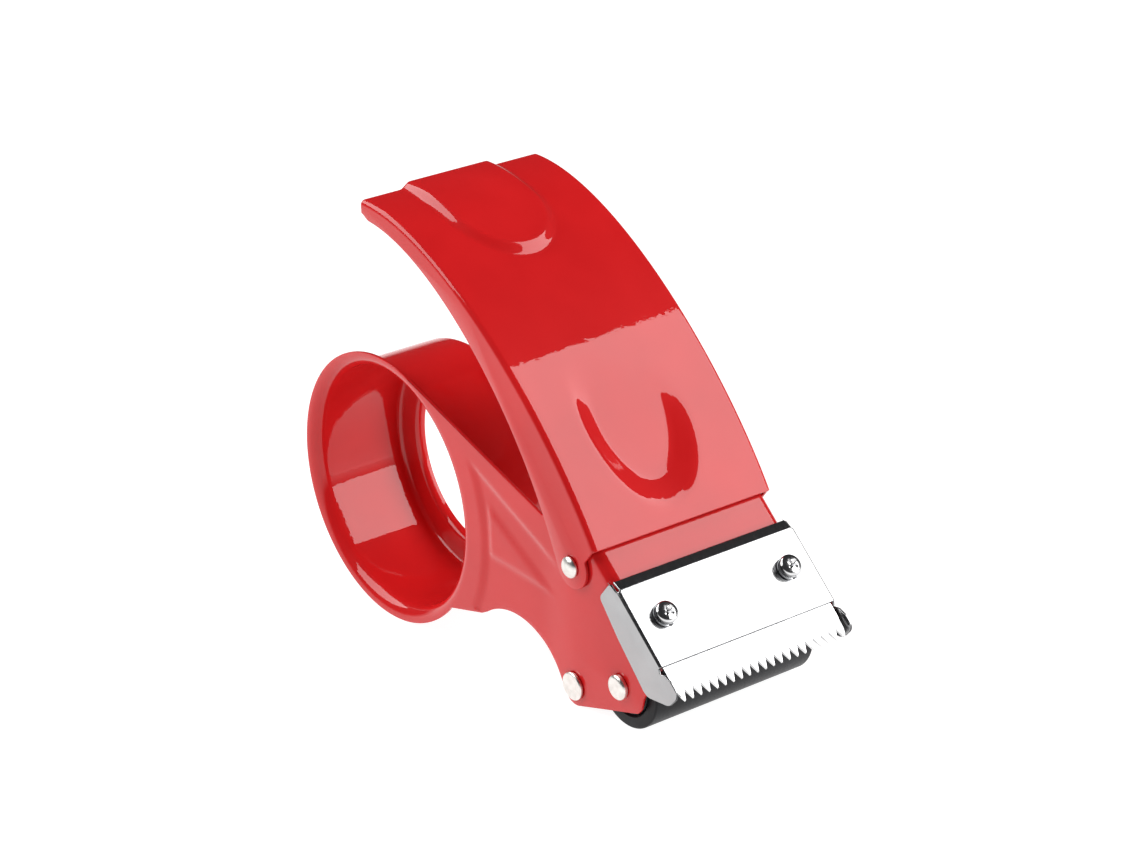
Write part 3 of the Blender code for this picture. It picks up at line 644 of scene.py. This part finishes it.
def build_body():
    """One sheet: the drum, the near plate, the front panel and the far plate."""
    skin = Skin()
    rings = []
    for r, y in drum_profile():
        points = ring_points(r, DRUM_SEGMENTS)
        rings.append([skin.put(drum_x + a, y, drum_z + b) for a, b in points])
    for a, b in zip(rings, rings[1:]):
        for i in range(DRUM_SEGMENTS):
            j = (i + 1) % DRUM_SEGMENTS
            x, _, z = skin.verts[a[i]]
            skin.face([a[j], a[i], b[i], b[j]], (drum_x - x, -rim_r, drum_z - z))

    top, upper, lower = side_outline(True)
    knee = slope(COVER_LENGTH, bend_line)
    near_top = skin.put(top[0], -half_body, top[1])
    near_knee = skin.put(knee[0], -half_body, knee[1])
    plate = [near_knee, near_top]
    plate += [skin.put(x, -half_body, z) for x, z in upper]
    plate += [rings[0][i % DRUM_SEGMENTS] for i in range(RIM_TOP, RIM_BOTTOM - 1, -1)]
    plate += [skin.put(x, -half_body, z) for x, z in lower]
    fill_plate(skin, plate)

    section = []
    for a in range(0, 91, 6):
        s, c = sin(radians(a)), cos(radians(a))
        section.append((bend_line - PANEL_BEND_R * s, PANEL_BEND_R - half_body - PANEL_BEND_R * c))
    section += [(d, -y) for d, y in section[::-1]]
    top_row = [near_top]
    knee_row = [near_knee]
    for d, y in section[1:]:
        x, z = slope(-PANEL_TOP, d)
        top_row.append(skin.put(x, y, z))
        x, z = slope(COVER_LENGTH, d)
        knee_row.append(skin.put(x, y, z))
    for k in range(len(section) - 1):
        tilt = section[k][1] / half_body
        strip = [top_row[k], knee_row[k], knee_row[k + 1], top_row[k + 1]]
        skin.face(strip, (out.x, tilt * abs(tilt), out.y))

    _, upper, lower = side_outline(False)
    plate = [top_row[-1], knee_row[-1]]
    plate += [skin.put(x, half_body, z) for x, z in lower[::-1]]
    plate += [skin.put(x, half_body, z) for x, z in upper[::-1]]
    skin.face(plate, (0, 1, 0))

    obj = add_mesh("painted_body", skin.verts, skin.faces)
    thicken(obj, SHEET)
    round_edges(obj, EDGE, 2, 50.0, clamp=False)
    return settle(obj)


place(build_body(), enamel, "dispenser", "red_paint", "body_frame")

# ---------------------------------------------------------------- handle

STATIONS = 150                 # steps along the handle
COLUMNS = 72                   # steps across it
EAR_R = 0.0064
EAR_CLEAR = 0.0035             # ear's round end to the end of the flange's own edge
FLANGE_TAPER = 1.75            # power by which the flange narrows towards the rear
FLANGE_END_CUT = 0.0014        # what the flange loses at its rear corner
TONGUE_HALF = 0.0168
TONGUE_STRAIGHT = 0.0215       # length of the tongue's parallel part
TONGUE_NOSE = 0.0213           # length of its round end
TONGUE_RISE = 0.0018
TONGUE_WALL = 0.80             # share of the tongue's width where its wall starts
SCOOP_HALF = 0.0177
SCOOP_CENTRE = 0.0330          # from the handle's lower edge, along its face
SCOOP_REACH = 0.0298           # half the scoop's length
SCOOP_DEPTH = 0.0033
SCOOP_WALL = 0.56              # share of the scoop's width where its wall starts
SCOOP_FADE = (-0.62, 0.55)     # its run-out, from no depth to all of it, in shares of its reach
SCOOP_TURN = 17.0              # lean of the scoop's run-out across the handle, per metre
RELIEF_Y = -0.0010             # both reliefs sit this far off the middle

handle_low = Vector(slope(-HANDLE_OVER_COVER, panel_front - GAP - SHEET))
handle_rear = Vector((front_x - HANDLE_REAR_REACH, HANDLE_HEIGHT))


def arm(length, angle):
    """A control arm of the handle's curve, its direction in degrees above +X."""
    return Vector((cos(radians(angle)), sin(radians(angle)))) * length


def handle_curve(t):
    """Top face of the handle in XZ, from its lower edge (0) to its rear edge (1)."""
    p = [handle_low, handle_low + arm(0.040, 118), handle_rear - arm(0.036, 177), handle_rear]
    s = 1 - t
    return p[0] * s**3 + p[1] * (3 * s * s * t) + p[2] * (3 * s * t * t) + p[3] * t**3


def handle_frame(t):
    """Point and outward normal of the handle's top face at parameter t."""
    step = 1e-4
    along = (handle_curve(min(1.0, t + step)) - handle_curve(max(0.0, t - step))).normalized()
    return handle_curve(t), Vector((along.y, -along.x))


def pressed(a, b, v):
    """0 before a, 1 after b and a straight wall between them, eased at its two ends."""
    ease = 0.25
    k = max(0.0, min(1.0, (v - a) / (b - a)))
    if k < ease:
        return k * k / (2 * ease * (1 - ease))
    if k > 1 - ease:
        return 1 - (1 - k) ** 2 / (2 * ease * (1 - ease))
    return (k - ease / 2) / (1 - ease)


def handle_relief(y, rear_distance, low_distance):
    """Height of the raised tongue and of the thumb scoop above the plain curve."""
    y -= RELIEF_Y
    nose = max(0.0, rear_distance - TONGUE_STRAIGHT) / TONGUE_NOSE
    tongue = TONGUE_RISE * (1 - pressed(TONGUE_WALL, 1.0, hypot(y / TONGUE_HALF, nose)))
    from_centre = (SCOOP_CENTRE - low_distance) / SCOOP_REACH
    fade = smooth_step(*SCOOP_FADE, from_centre - SCOOP_TURN * y)
    scoop = SCOOP_DEPTH * (1 - pressed(SCOOP_WALL, 1.0, hypot(y / SCOOP_HALF, from_centre)))
    return tongue - scoop * fade


def build_handle():
    """One curved sheet: its pressed top, its side flanges and their ears."""
    skin = Skin()
    ts = [k / STATIONS for k in range(STATIONS + 1)]
    curve = [handle_frame(t) for t in ts]
    run = [0.0]
    for k in range(STATIONS):
        run.append(run[-1] + (curve[k + 1][0] - curve[k][0]).length)
    total = run[-1]
    flat_y = handle_half - HANDLE_BEND_R
    bend = []
    for a in range(0, 90, 10):
        drop = HANDLE_BEND_R * (1 - sin(radians(a)))
        bend.append((-flat_y - HANDLE_BEND_R * cos(radians(a)), -drop))
    rows = []
    for k, (point, normal) in enumerate(curve):
        section = list(bend)
        for c in range(COLUMNS + 1):
            y = -flat_y + 2 * flat_y * c / COLUMNS
            section.append((y, handle_relief(y, total - run[k], run[k])))
        section += [(-y, h) for y, h in bend[::-1]]
        lifted = [(point + normal * h, y) for y, h in section]
        rows.append([skin.put(q.x, y, q.y) for q, y in lifted])
    for k, (a, b) in enumerate(zip(rows, rows[1:])):
        normal = curve[k][1]
        for i in range(len(a) - 1):
            tilt = skin.verts[a[i]][1] / handle_half
            skin.face([a[i], b[i], b[i + 1], a[i + 1]], (normal.x, tilt * abs(tilt), normal.y))
    for side, edge in ((-1, 0), (1, -1)):
        lower = []
        for k in range(STATIONS, 0, -1):
            point, normal = curve[k]
            s = run[k] / total
            depth = HANDLE_FLANGE_REAR
            depth += (HANDLE_FLANGE_FRONT - HANDLE_FLANGE_REAR) * (1 - s) ** FLANGE_TAPER
            depth -= FLANGE_END_CUT * smooth_step(0.97, 1.0, s)
            q = point - normal * depth
            above_rivet = q.y > rivet.z + 0.001
            if above_rivet and hypot(q.x - rivet.x, q.y - rivet.z) > EAR_R + EAR_CLEAR:
                lower.append((q.x, side * handle_half, q.y))
        ear = arc(rivet.x, rivet.z, EAR_R, 192, 385, 40)
        lower += [(x, side * handle_half, z) for x, z in ear]
        skin.face([row[edge] for row in rows] + [skin.put(*p) for p in lower], (0, side, 0))
    obj = add_mesh("painted_handle", skin.verts, skin.faces)
    thicken(obj, SHEET)
    round_edges(obj, EDGE, 2, 50.0, clamp=False)
    return settle(obj)


place(build_handle(), enamel, "dispenser", "red_paint", "handle")

# ---------------------------------------------------------------- blade cover and blade


def lip_bend(turned):
    """Where the cover's top bend has turned by an angle: down the slope, and behind the face."""
    return -COVER_LIP_R * sin(turned), COVER_LIP_R * (1 - cos(turned))


def build_cover():
    """Front plate with a turned-back top edge and two guard wings beside the blade."""
    skin = Skin()
    flat_y = cover_half - COVER_BEND_R

    def at(t, d, y):
        x, z = slope(t, d)
        return skin.put(x, y, z)

    def row(t, d):
        return [at(t, d, -flat_y), at(t, d, flat_y)]

    tilt = radians(COVER_LIP_ANGLE)
    t, d = lip_bend(tilt)
    bend_steps = 6
    rows = [row(t - COVER_LIP * cos(tilt), d + COVER_LIP * sin(tilt))]
    rows += [row(*lip_bend(tilt * k / bend_steps)) for k in range(bend_steps, -1, -1)]
    rows.append(row(COVER_LENGTH, 0.0))
    for a, b in zip(rows, rows[1:]):
        skin.face([a[0], b[0], b[1], a[1]], (out.x, 0, out.y))
    wing = rounded([
        (0.0260, 0.0, 0.0004),
        (0.0285, -0.0010, 0.0020),
        (0.0330, -0.0011, 0.0024),
        (0.0330, 0.0050, 0.0040),
        (0.0265, 0.0122, 0.0040),
        (0.0091, 0.0107, 0.0400),
        (-0.0029, 0.0088, 0.0016),
        (-0.0033, 0.0016, 0.0010),
    ])
    for side, end in ((-1, 0), (1, 1)):
        top_edge = [rows[-2][end]]
        low_edge = [rows[-1][end]]
        for a in range(10, 91, 10):
            y = side * (flat_y + COVER_BEND_R * sin(radians(a)))
            d = COVER_BEND_R * (1 - cos(radians(a)))
            top_edge.append(at(0.0, d, y))
            low_edge.append(at(COVER_LENGTH, d, y))
        for k in range(len(top_edge) - 1):
            quad = [top_edge[k], low_edge[k], low_edge[k + 1], top_edge[k + 1]]
            skin.face(quad, (out.x, side, out.y))
        slot = [at(COVER_LENGTH + 0.0012, COVER_BEND_R + 0.0006, side * cover_half)]
        loop = [top_edge[-1], low_edge[-1]] + slot
        loop += [at(t, d, side * cover_half) for t, d in wing]
        skin.face(loop, (0, side, 0))
    obj = add_mesh("plated_cover", skin.verts, skin.faces)
    thicken(obj, COVER_SHEET)
    round_edges(obj, COVER_EDGE, 3, 50.0, clamp=False)
    return settle(obj)


place(build_cover(), nickel, "dispenser", "nickel", "blade_cover")


def build_blade():
    """A flat strip whose lower edge is a row of pointed teeth."""
    blade_half = half_body - BLADE_INSET
    pitch = 2 * blade_half / TOOTH_COUNT
    root = blade_tip - TOOTH_DEPTH
    edge = [(BLADE_TOP, -blade_half), (BLADE_TOP, blade_half)]
    for k in range(TOOTH_COUNT):
        y = blade_half - pitch * k
        edge.append((root, y - pitch * 0.02))
        edge.append((blade_tip, y - pitch * 0.5))
    edge.append((root, -blade_half + pitch * 0.02))
    obj = prism("toothed_blade", edge, panel_lift, blade_front, blade_back)
    round_edges(obj, 0.00006, 1, 30.0)
    return settle(obj, 25.0)


place(build_blade(), steel, "dispenser", "blade_steel", "cutting_blade")

# ---------------------------------------------------------------- screws, washers and nuts

WASHER_THICKNESS = 0.0008
HEAD_HEIGHT = 0.0022
HEAD_CROWN = 0.0013            # how far the head's round top drops to its side
NUT_HEIGHT = 0.0030
NUT_CORNER_R = 0.00404
NUT_CHAMFER = 0.0004
SCREW_PAST_NUT = 0.0014
THREAD_PITCH = 0.0007
THREAD_DEPTH = 0.00035

# Heights along a screw's axis, measured behind the cover's face.
washer_back = -GAP
washer_front = washer_back - WASHER_THICKNESS
head_back = washer_front - GAP
head_front = head_back - HEAD_HEIGHT
nut_front = panel_back + GAP
nut_back = nut_front + NUT_HEIGHT
screw_end = nut_back + SCREW_PAST_NUT


def onto_panel(obj, y):
    """Stands a piece turned about Y on the front panel, its axis square to it at a screw."""
    x, z = slope(SCREW_DOWN, 0.0)
    turn = Matrix(((down.x, -out.x, 0.0), (0.0, 0.0, 1.0), (down.y, -out.y, 0.0)))
    for v in obj.data.vertices:
        v.co = turn @ v.co + Vector((x, y, z))
    obj.data.update()
    return obj


def recess_tool(y, turn):
    """A tapered bar that cuts one slot of a screw's cross recess, turned by an angle."""
    c, s = cos(radians(turn)), sin(radians(turn))
    verts = []
    # Each end's half length, half width and place below the top of the head.
    mouth = (0.0024, 0.0007, -0.0006)
    bottom = (0.0006, 0.0001, 0.0018)
    for half_length, half_width, h in (mouth, bottom):
        for p, q in ((-1, -1), (1, -1), (1, 1), (-1, 1)):
            a, b = p * half_length, q * half_width
            verts.append(panel_lift(SCREW_DOWN + a * c - b * s, y + a * s + b * c, head_front + h))
    faces = [[0, 1, 2, 3], [7, 6, 5, 4]]
    faces += [[(k + 1) % 4, k, k + 4, (k + 1) % 4 + 4] for k in range(4)]
    return add_mesh("recess", verts, outward(verts, faces))


def build_screw(name, y):
    """A pan-head cross-recess screw with its thread."""
    profile = [(0, head_front)]
    profile += [
        (SCREW_HEAD_R * sin(radians(a)), head_front + HEAD_CROWN * (1 - cos(radians(a))))
        for a in range(12, 85, 8)
    ]
    profile += [(SCREW_HEAD_R, head_back - 0.0005), (SCREW_HEAD_R - 0.0001, head_back)]
    profile.append((SCREW_R, head_back))
    h = nut_front - 0.0002
    profile.append((SCREW_R, h))
    while h + THREAD_PITCH < screw_end:
        profile.append((SCREW_R, h + THREAD_PITCH * 0.08))
        profile.append((SCREW_R - THREAD_DEPTH, h + THREAD_PITCH * 0.5))
        profile.append((SCREW_R, h + THREAD_PITCH * 0.92))
        h += THREAD_PITCH
    profile += [(SCREW_R - 0.0004, screw_end), (0, screw_end)]
    screw = onto_panel(lathe_y(name, profile, 0.0, 0.0, 48), y)
    for turn in (32, 122):
        cut(screw, recess_tool(y, turn))
    return settle(screw)


def build_washer(name, y):
    """A split spring washer, its ends sprung a little apart."""
    verts = []
    faces = []
    steps = 44
    half_split = 14            # degrees
    spring = 0.0002
    inner, outer = SCREW_R + GAP, SCREW_HEAD_R + 0.0002
    section = ((inner, washer_back), (outer, washer_back))
    section += ((outer, washer_front), (inner, washer_front))
    for k in range(steps + 1):
        a = radians(half_split + (360 - 2 * half_split) * k / steps)
        lift = spring * (k / steps - 0.5)
        for r, h in section:
            h = min(washer_back, max(washer_front, h - lift))
            verts.append(panel_lift(SCREW_DOWN + r * cos(a), y + r * sin(a), h))
    for k in range(steps):
        for m in range(4):
            p, q = 4 * k + m, 4 * k + (m + 1) % 4
            faces.append([p, q, q + 4, p + 4])
    faces += [[3, 2, 1, 0], [4 * steps + m for m in range(4)]]
    obj = add_mesh(name, verts, outward(verts, faces))
    round_edges(obj, 0.00008, 2, 50.0)
    return settle(obj)


def build_nut(name, y):
    """A hexagon nut, its corners turned off on both faces."""
    bore, end_r, blank_r = SCREW_R + 0.00005, NUT_CORNER_R * 0.88, NUT_CORNER_R * 1.02
    profile = [(bore, nut_front), (bore, nut_back)]
    profile += [(end_r, nut_back), (blank_r, nut_back - NUT_CHAMFER)]
    profile += [(blank_r, nut_front + NUT_CHAMFER), (end_r, nut_front)]
    nut = onto_panel(lathe_y(name, profile, 0.0, 0.0, 96), y)
    flat = NUT_CORNER_R * cos(pi / 6)
    block = [(flat, -0.004), (flat + 0.003, -0.004), (flat + 0.003, 0.004), (flat, 0.004)]
    for k in range(6):
        c, s = cos(pi / 3 * k), sin(pi / 3 * k)
        side = [(SCREW_DOWN + p * c - q * s, y + p * s + q * c) for p, q in block]
        cut(nut, prism("flat", side, panel_lift, nut_front - 0.001, nut_back + 0.001))
    return settle(nut, 28.0)


for word in ("near", "far"):
    y = centre("blade_screw_" + word).y
    place(build_screw("cross_screw_" + word, y), screw_plate, "dispenser", "zinc", "blade_screw_" + word)
    place(build_washer("spring_washer_" + word, y), zinc, "dispenser", "zinc", "lock_washer_" + word)
    place(build_nut("hex_nut_" + word, y), zinc, "dispenser", "zinc", "blade_nut_" + word)

# ---------------------------------------------------------------- rivets, axle and guide shaft

AXLE_R = 0.0030
GUIDE_SHAFT_R = 0.0024
RIVET_R = 0.0019
RIVET_HEAD_R = 0.0031
RIVET_RISE = 0.0015            # of the head's round top
RIVET_SKIRT = 0.0003           # straight side under it


def build_rivet(name, side):
    """A round-headed rivet, its tail closed over inside the side plate."""
    face = handle_half + GAP
    inner = half_body - SHEET - GAP
    tail_r = RIVET_HEAD_R - 0.0003
    profile = [(0, inner - 0.0010), (tail_r - 0.0008, inner - 0.0010)]
    profile += [(tail_r - 0.0003, inner - 0.0008), (tail_r, inner - 0.0004), (tail_r, inner)]
    profile += [(RIVET_R, inner), (RIVET_R, face), (RIVET_HEAD_R - 0.0001, face)]
    profile += [
        (RIVET_HEAD_R * cos(radians(a)), face + RIVET_SKIRT + RIVET_RISE * sin(radians(a)))
        for a in range(0, 90, 9)
    ]
    profile.append((0, face + RIVET_SKIRT + RIVET_RISE))
    profile = [(r, side * y) for r, y in profile]
    return settle(lathe_y(name, profile, rivet.x, rivet.z, 64))


def build_shaft(name, at, shaft_r, head_r, rise, dome):
    """A plain shaft across both side plates with a closed head outside each.

    A head stands out by rise, and dome is the share of its radius that its rounding takes.
    """
    face = half_body + GAP
    right = [(shaft_r, face), (head_r - 0.0001, face), (head_r, face + 0.0001)]
    right.append((head_r, face + rise * 0.40))
    right += [
        (
            head_r * (1 - dome * (1 - cos(radians(a)))),
            face + rise * (0.45 + 0.55 * sin(radians(a))),
        )
        for a in range(9, 91, 9)
    ]
    right.append((0, face + rise))
    left = [(r, -y) for r, y in right[::-1]]
    return settle(lathe_y(name, left + right, at.x, at.z, 64))


for side, word in ((-1, "near"), (1, "far")):
    pin = build_rivet("round_rivet_" + word, side)
    place(pin, rivet_plate, "dispenser", "zinc", "handle_rivet_" + word)
pin = build_shaft("axle_pin", axle, AXLE_R, head_r=0.0036, rise=0.0017, dome=0.45)
place(pin, rivet_plate, "dispenser", "zinc", "roller_axle")
pin = build_shaft("guide_pin", guide, GUIDE_SHAFT_R, head_r=0.0041, rise=0.0010, dome=0.15)
place(pin, rivet_plate, "dispenser", "zinc", "guide_shaft")

# ---------------------------------------------------------------- rollers

RUNNING = 0.00006              # radial clearance of a turning fit


def tube_r(node):
    """Outside radius of a round CAD node that lies along Y."""
    low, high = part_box(node)
    return (high.z - low.z) / 2


def turned_tube(name, outer, inner, y0, y1, at, n, ease):
    """A tube along Y whose edges are eased."""
    profile = [(inner, y0 + ease), (inner + ease, y0)]
    steps = 5
    for k in range(steps + 1):
        a = radians(90 * k / steps)
        profile.append((outer - ease * (1 - sin(a)), y0 + ease * (1 - cos(a))))
    for k in range(steps + 1):
        a = radians(90 * k / steps)
        profile.append((outer - ease * (1 - cos(a)), y1 - ease * (1 - sin(a))))
    profile += [(inner + ease, y1), (inner, y1 - ease)]
    return settle(lathe_y(name, profile, at.x, at.z, n))


def own_tube(name, node, inner, n, ease):
    """A finely turned tube of n sides that fills the box of its CAD node."""
    low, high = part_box(node)
    return turned_tube(name, tube_r(node), inner, low.y, high.y, centre(node), n, ease)


sleeve = own_tube("rubber_sleeve", "roller_sleeve", tube_r("roller_core") + GAP, 128, 0.0006)
place(sleeve, rubber, "press_roller", "black_rubber", "roller_sleeve")
core = own_tube("roller_hub", "roller_core", tube_r("roller_bush_near") + GAP, 96, 0.0003)
place(core, plastic, "press_roller", "black_plastic", "roller_core")
for word in ("near", "far"):
    bush = own_tube("bush_" + word, "roller_bush_" + word, AXLE_R + RUNNING, 64, 0.0002)
    place(bush, zinc, "press_roller", "zinc", "roller_bush_" + word)
    washer = own_tube("flat_washer_" + word, "roller_washer_" + word, AXLE_R + RUNNING, 64, 0.0001)
    place(washer, zinc, "dispenser", "zinc", "roller_washer_" + word)
guide_tube = own_tube("guide_tube", "guide_roller", GUIDE_SHAFT_R + RUNNING, 96, 0.0004)
place(guide_tube, plastic, "tape_guide", "black_plastic", "guide_roller")

# ---------------------------------------------------------------- floor, light and camera

FLOOR_R = 4.0
FLOOR_DROP = 0.00002           # floor's top under the part


def build_floor():
    """A pale matt sheet, lit almost to white."""
    f = Finish("studio_floor", (0.30, 0.30, 0.30), 0.0, 0.9)
    f.set("Specular IOR Level", 0.1)
    f.set("Emission Color", (1.0, 1.0, 1.0, 1.0))
    f.set("Emission Strength", 0.95)
    rim = [(x, y, 0.0) for x, y in ring_points(FLOOR_R, 96)]
    floor = add_mesh("studio_floor", rim, [list(range(len(rim)))])
    floor.data.materials.append(f.mat)
    floor.location.z = frame_low.z - FLOOR_DROP


def softbox(name, direction, up, distance, width, height, radiance, target, raised=0.0, aside=0.0):
    """A rectangular soft light that faces the target, or a place above or beside it."""
    data = bpy.data.lights.new(name, "AREA")
    data.shape = "RECTANGLE"
    data.size = width
    data.size_y = height
    data.energy = radiance * pi * width * height
    lamp = into_scene(name, data)
    back = Vector(direction).normalized()
    side = Vector(up).cross(back).normalized()
    rise = back.cross(side)
    turn = Matrix((side, rise, back)).transposed().to_4x4()
    turn.translation = Vector(target) + back * distance + rise * raised + side * aside
    lamp.matrix_world = turn
    lamp.visible_camera = False


def build_world():
    """White around the horizon and below it, dim overhead."""
    world = bpy.data.worlds.new("studio")
    world.use_nodes = True
    tree = world.node_tree
    background = tree.nodes["Background"]
    coords = tree.nodes.new("ShaderNodeTexCoord")
    split = tree.nodes.new("ShaderNodeSeparateXYZ")
    ramp = tree.nodes.new("ShaderNodeValToRGB")
    tree.links.new(coords.outputs["Generated"], split.inputs[0])
    tree.links.new(split.outputs["Z"], ramp.inputs["Fac"])
    tree.links.new(ramp.outputs["Color"], background.inputs["Color"])
    ramp.color_ramp.elements[0].position = 0.0
    ramp.color_ramp.elements[0].color = (1.0, 1.0, 1.0, 1.0)
    ramp.color_ramp.elements[1].position = 0.14
    ramp.color_ramp.elements[1].color = (0.035, 0.035, 0.037, 1.0)
    bpy.context.scene.world = world


build_floor()
build_world()
middle = (frame_low + frame_high) / 2
softbox(
    "key_box", (0.545, 0.576, 0.606), (-0.742, 0.0, 0.67), distance=1.1, width=0.78, height=1.125,
    radiance=4.7, target=middle, raised=-0.2175, aside=0.08,
)
softbox(
    "fill_box", (-0.50, -0.45, 0.74), (0.4, 0.3, 0.9), distance=1.1, width=1.20, height=0.85,
    radiance=4.3, target=middle,
)

AZIMUTH = radians(53.54)
ELEVATION = radians(20.29)
ROLL = radians(-3.83)
CAMERA_PLACE = Vector((0.7016, -0.5144, 0.3845))
SENSOR_WIDTH = 36.0            # mm
FOCAL_LENGTH = 103.81          # mm


def build_camera():
    """The photo's own view: its direction, its roll and its distance."""
    level = cos(ELEVATION)
    back = Vector((sin(AZIMUTH) * level, -cos(AZIMUTH) * level, sin(ELEVATION)))
    level_right = Vector((cos(AZIMUTH), sin(AZIMUTH), 0.0))
    level_up = back.cross(level_right)
    right = level_right * cos(ROLL) + level_up * sin(ROLL)
    up = level_up * cos(ROLL) - level_right * sin(ROLL)
    data = bpy.data.cameras.new("camera")
    data.sensor_width = SENSOR_WIDTH
    data.lens = FOCAL_LENGTH
    data.clip_start = 0.05
    data.clip_end = 20.0
    camera = into_scene("camera", data)
    turn = Matrix((right, up, back)).transposed().to_4x4()
    turn.translation = CAMERA_PLACE
    camera.matrix_world = turn
    bpy.context.scene.camera = camera


build_camera()
bpy.context.scene.view_settings.view_transform = "Standard"
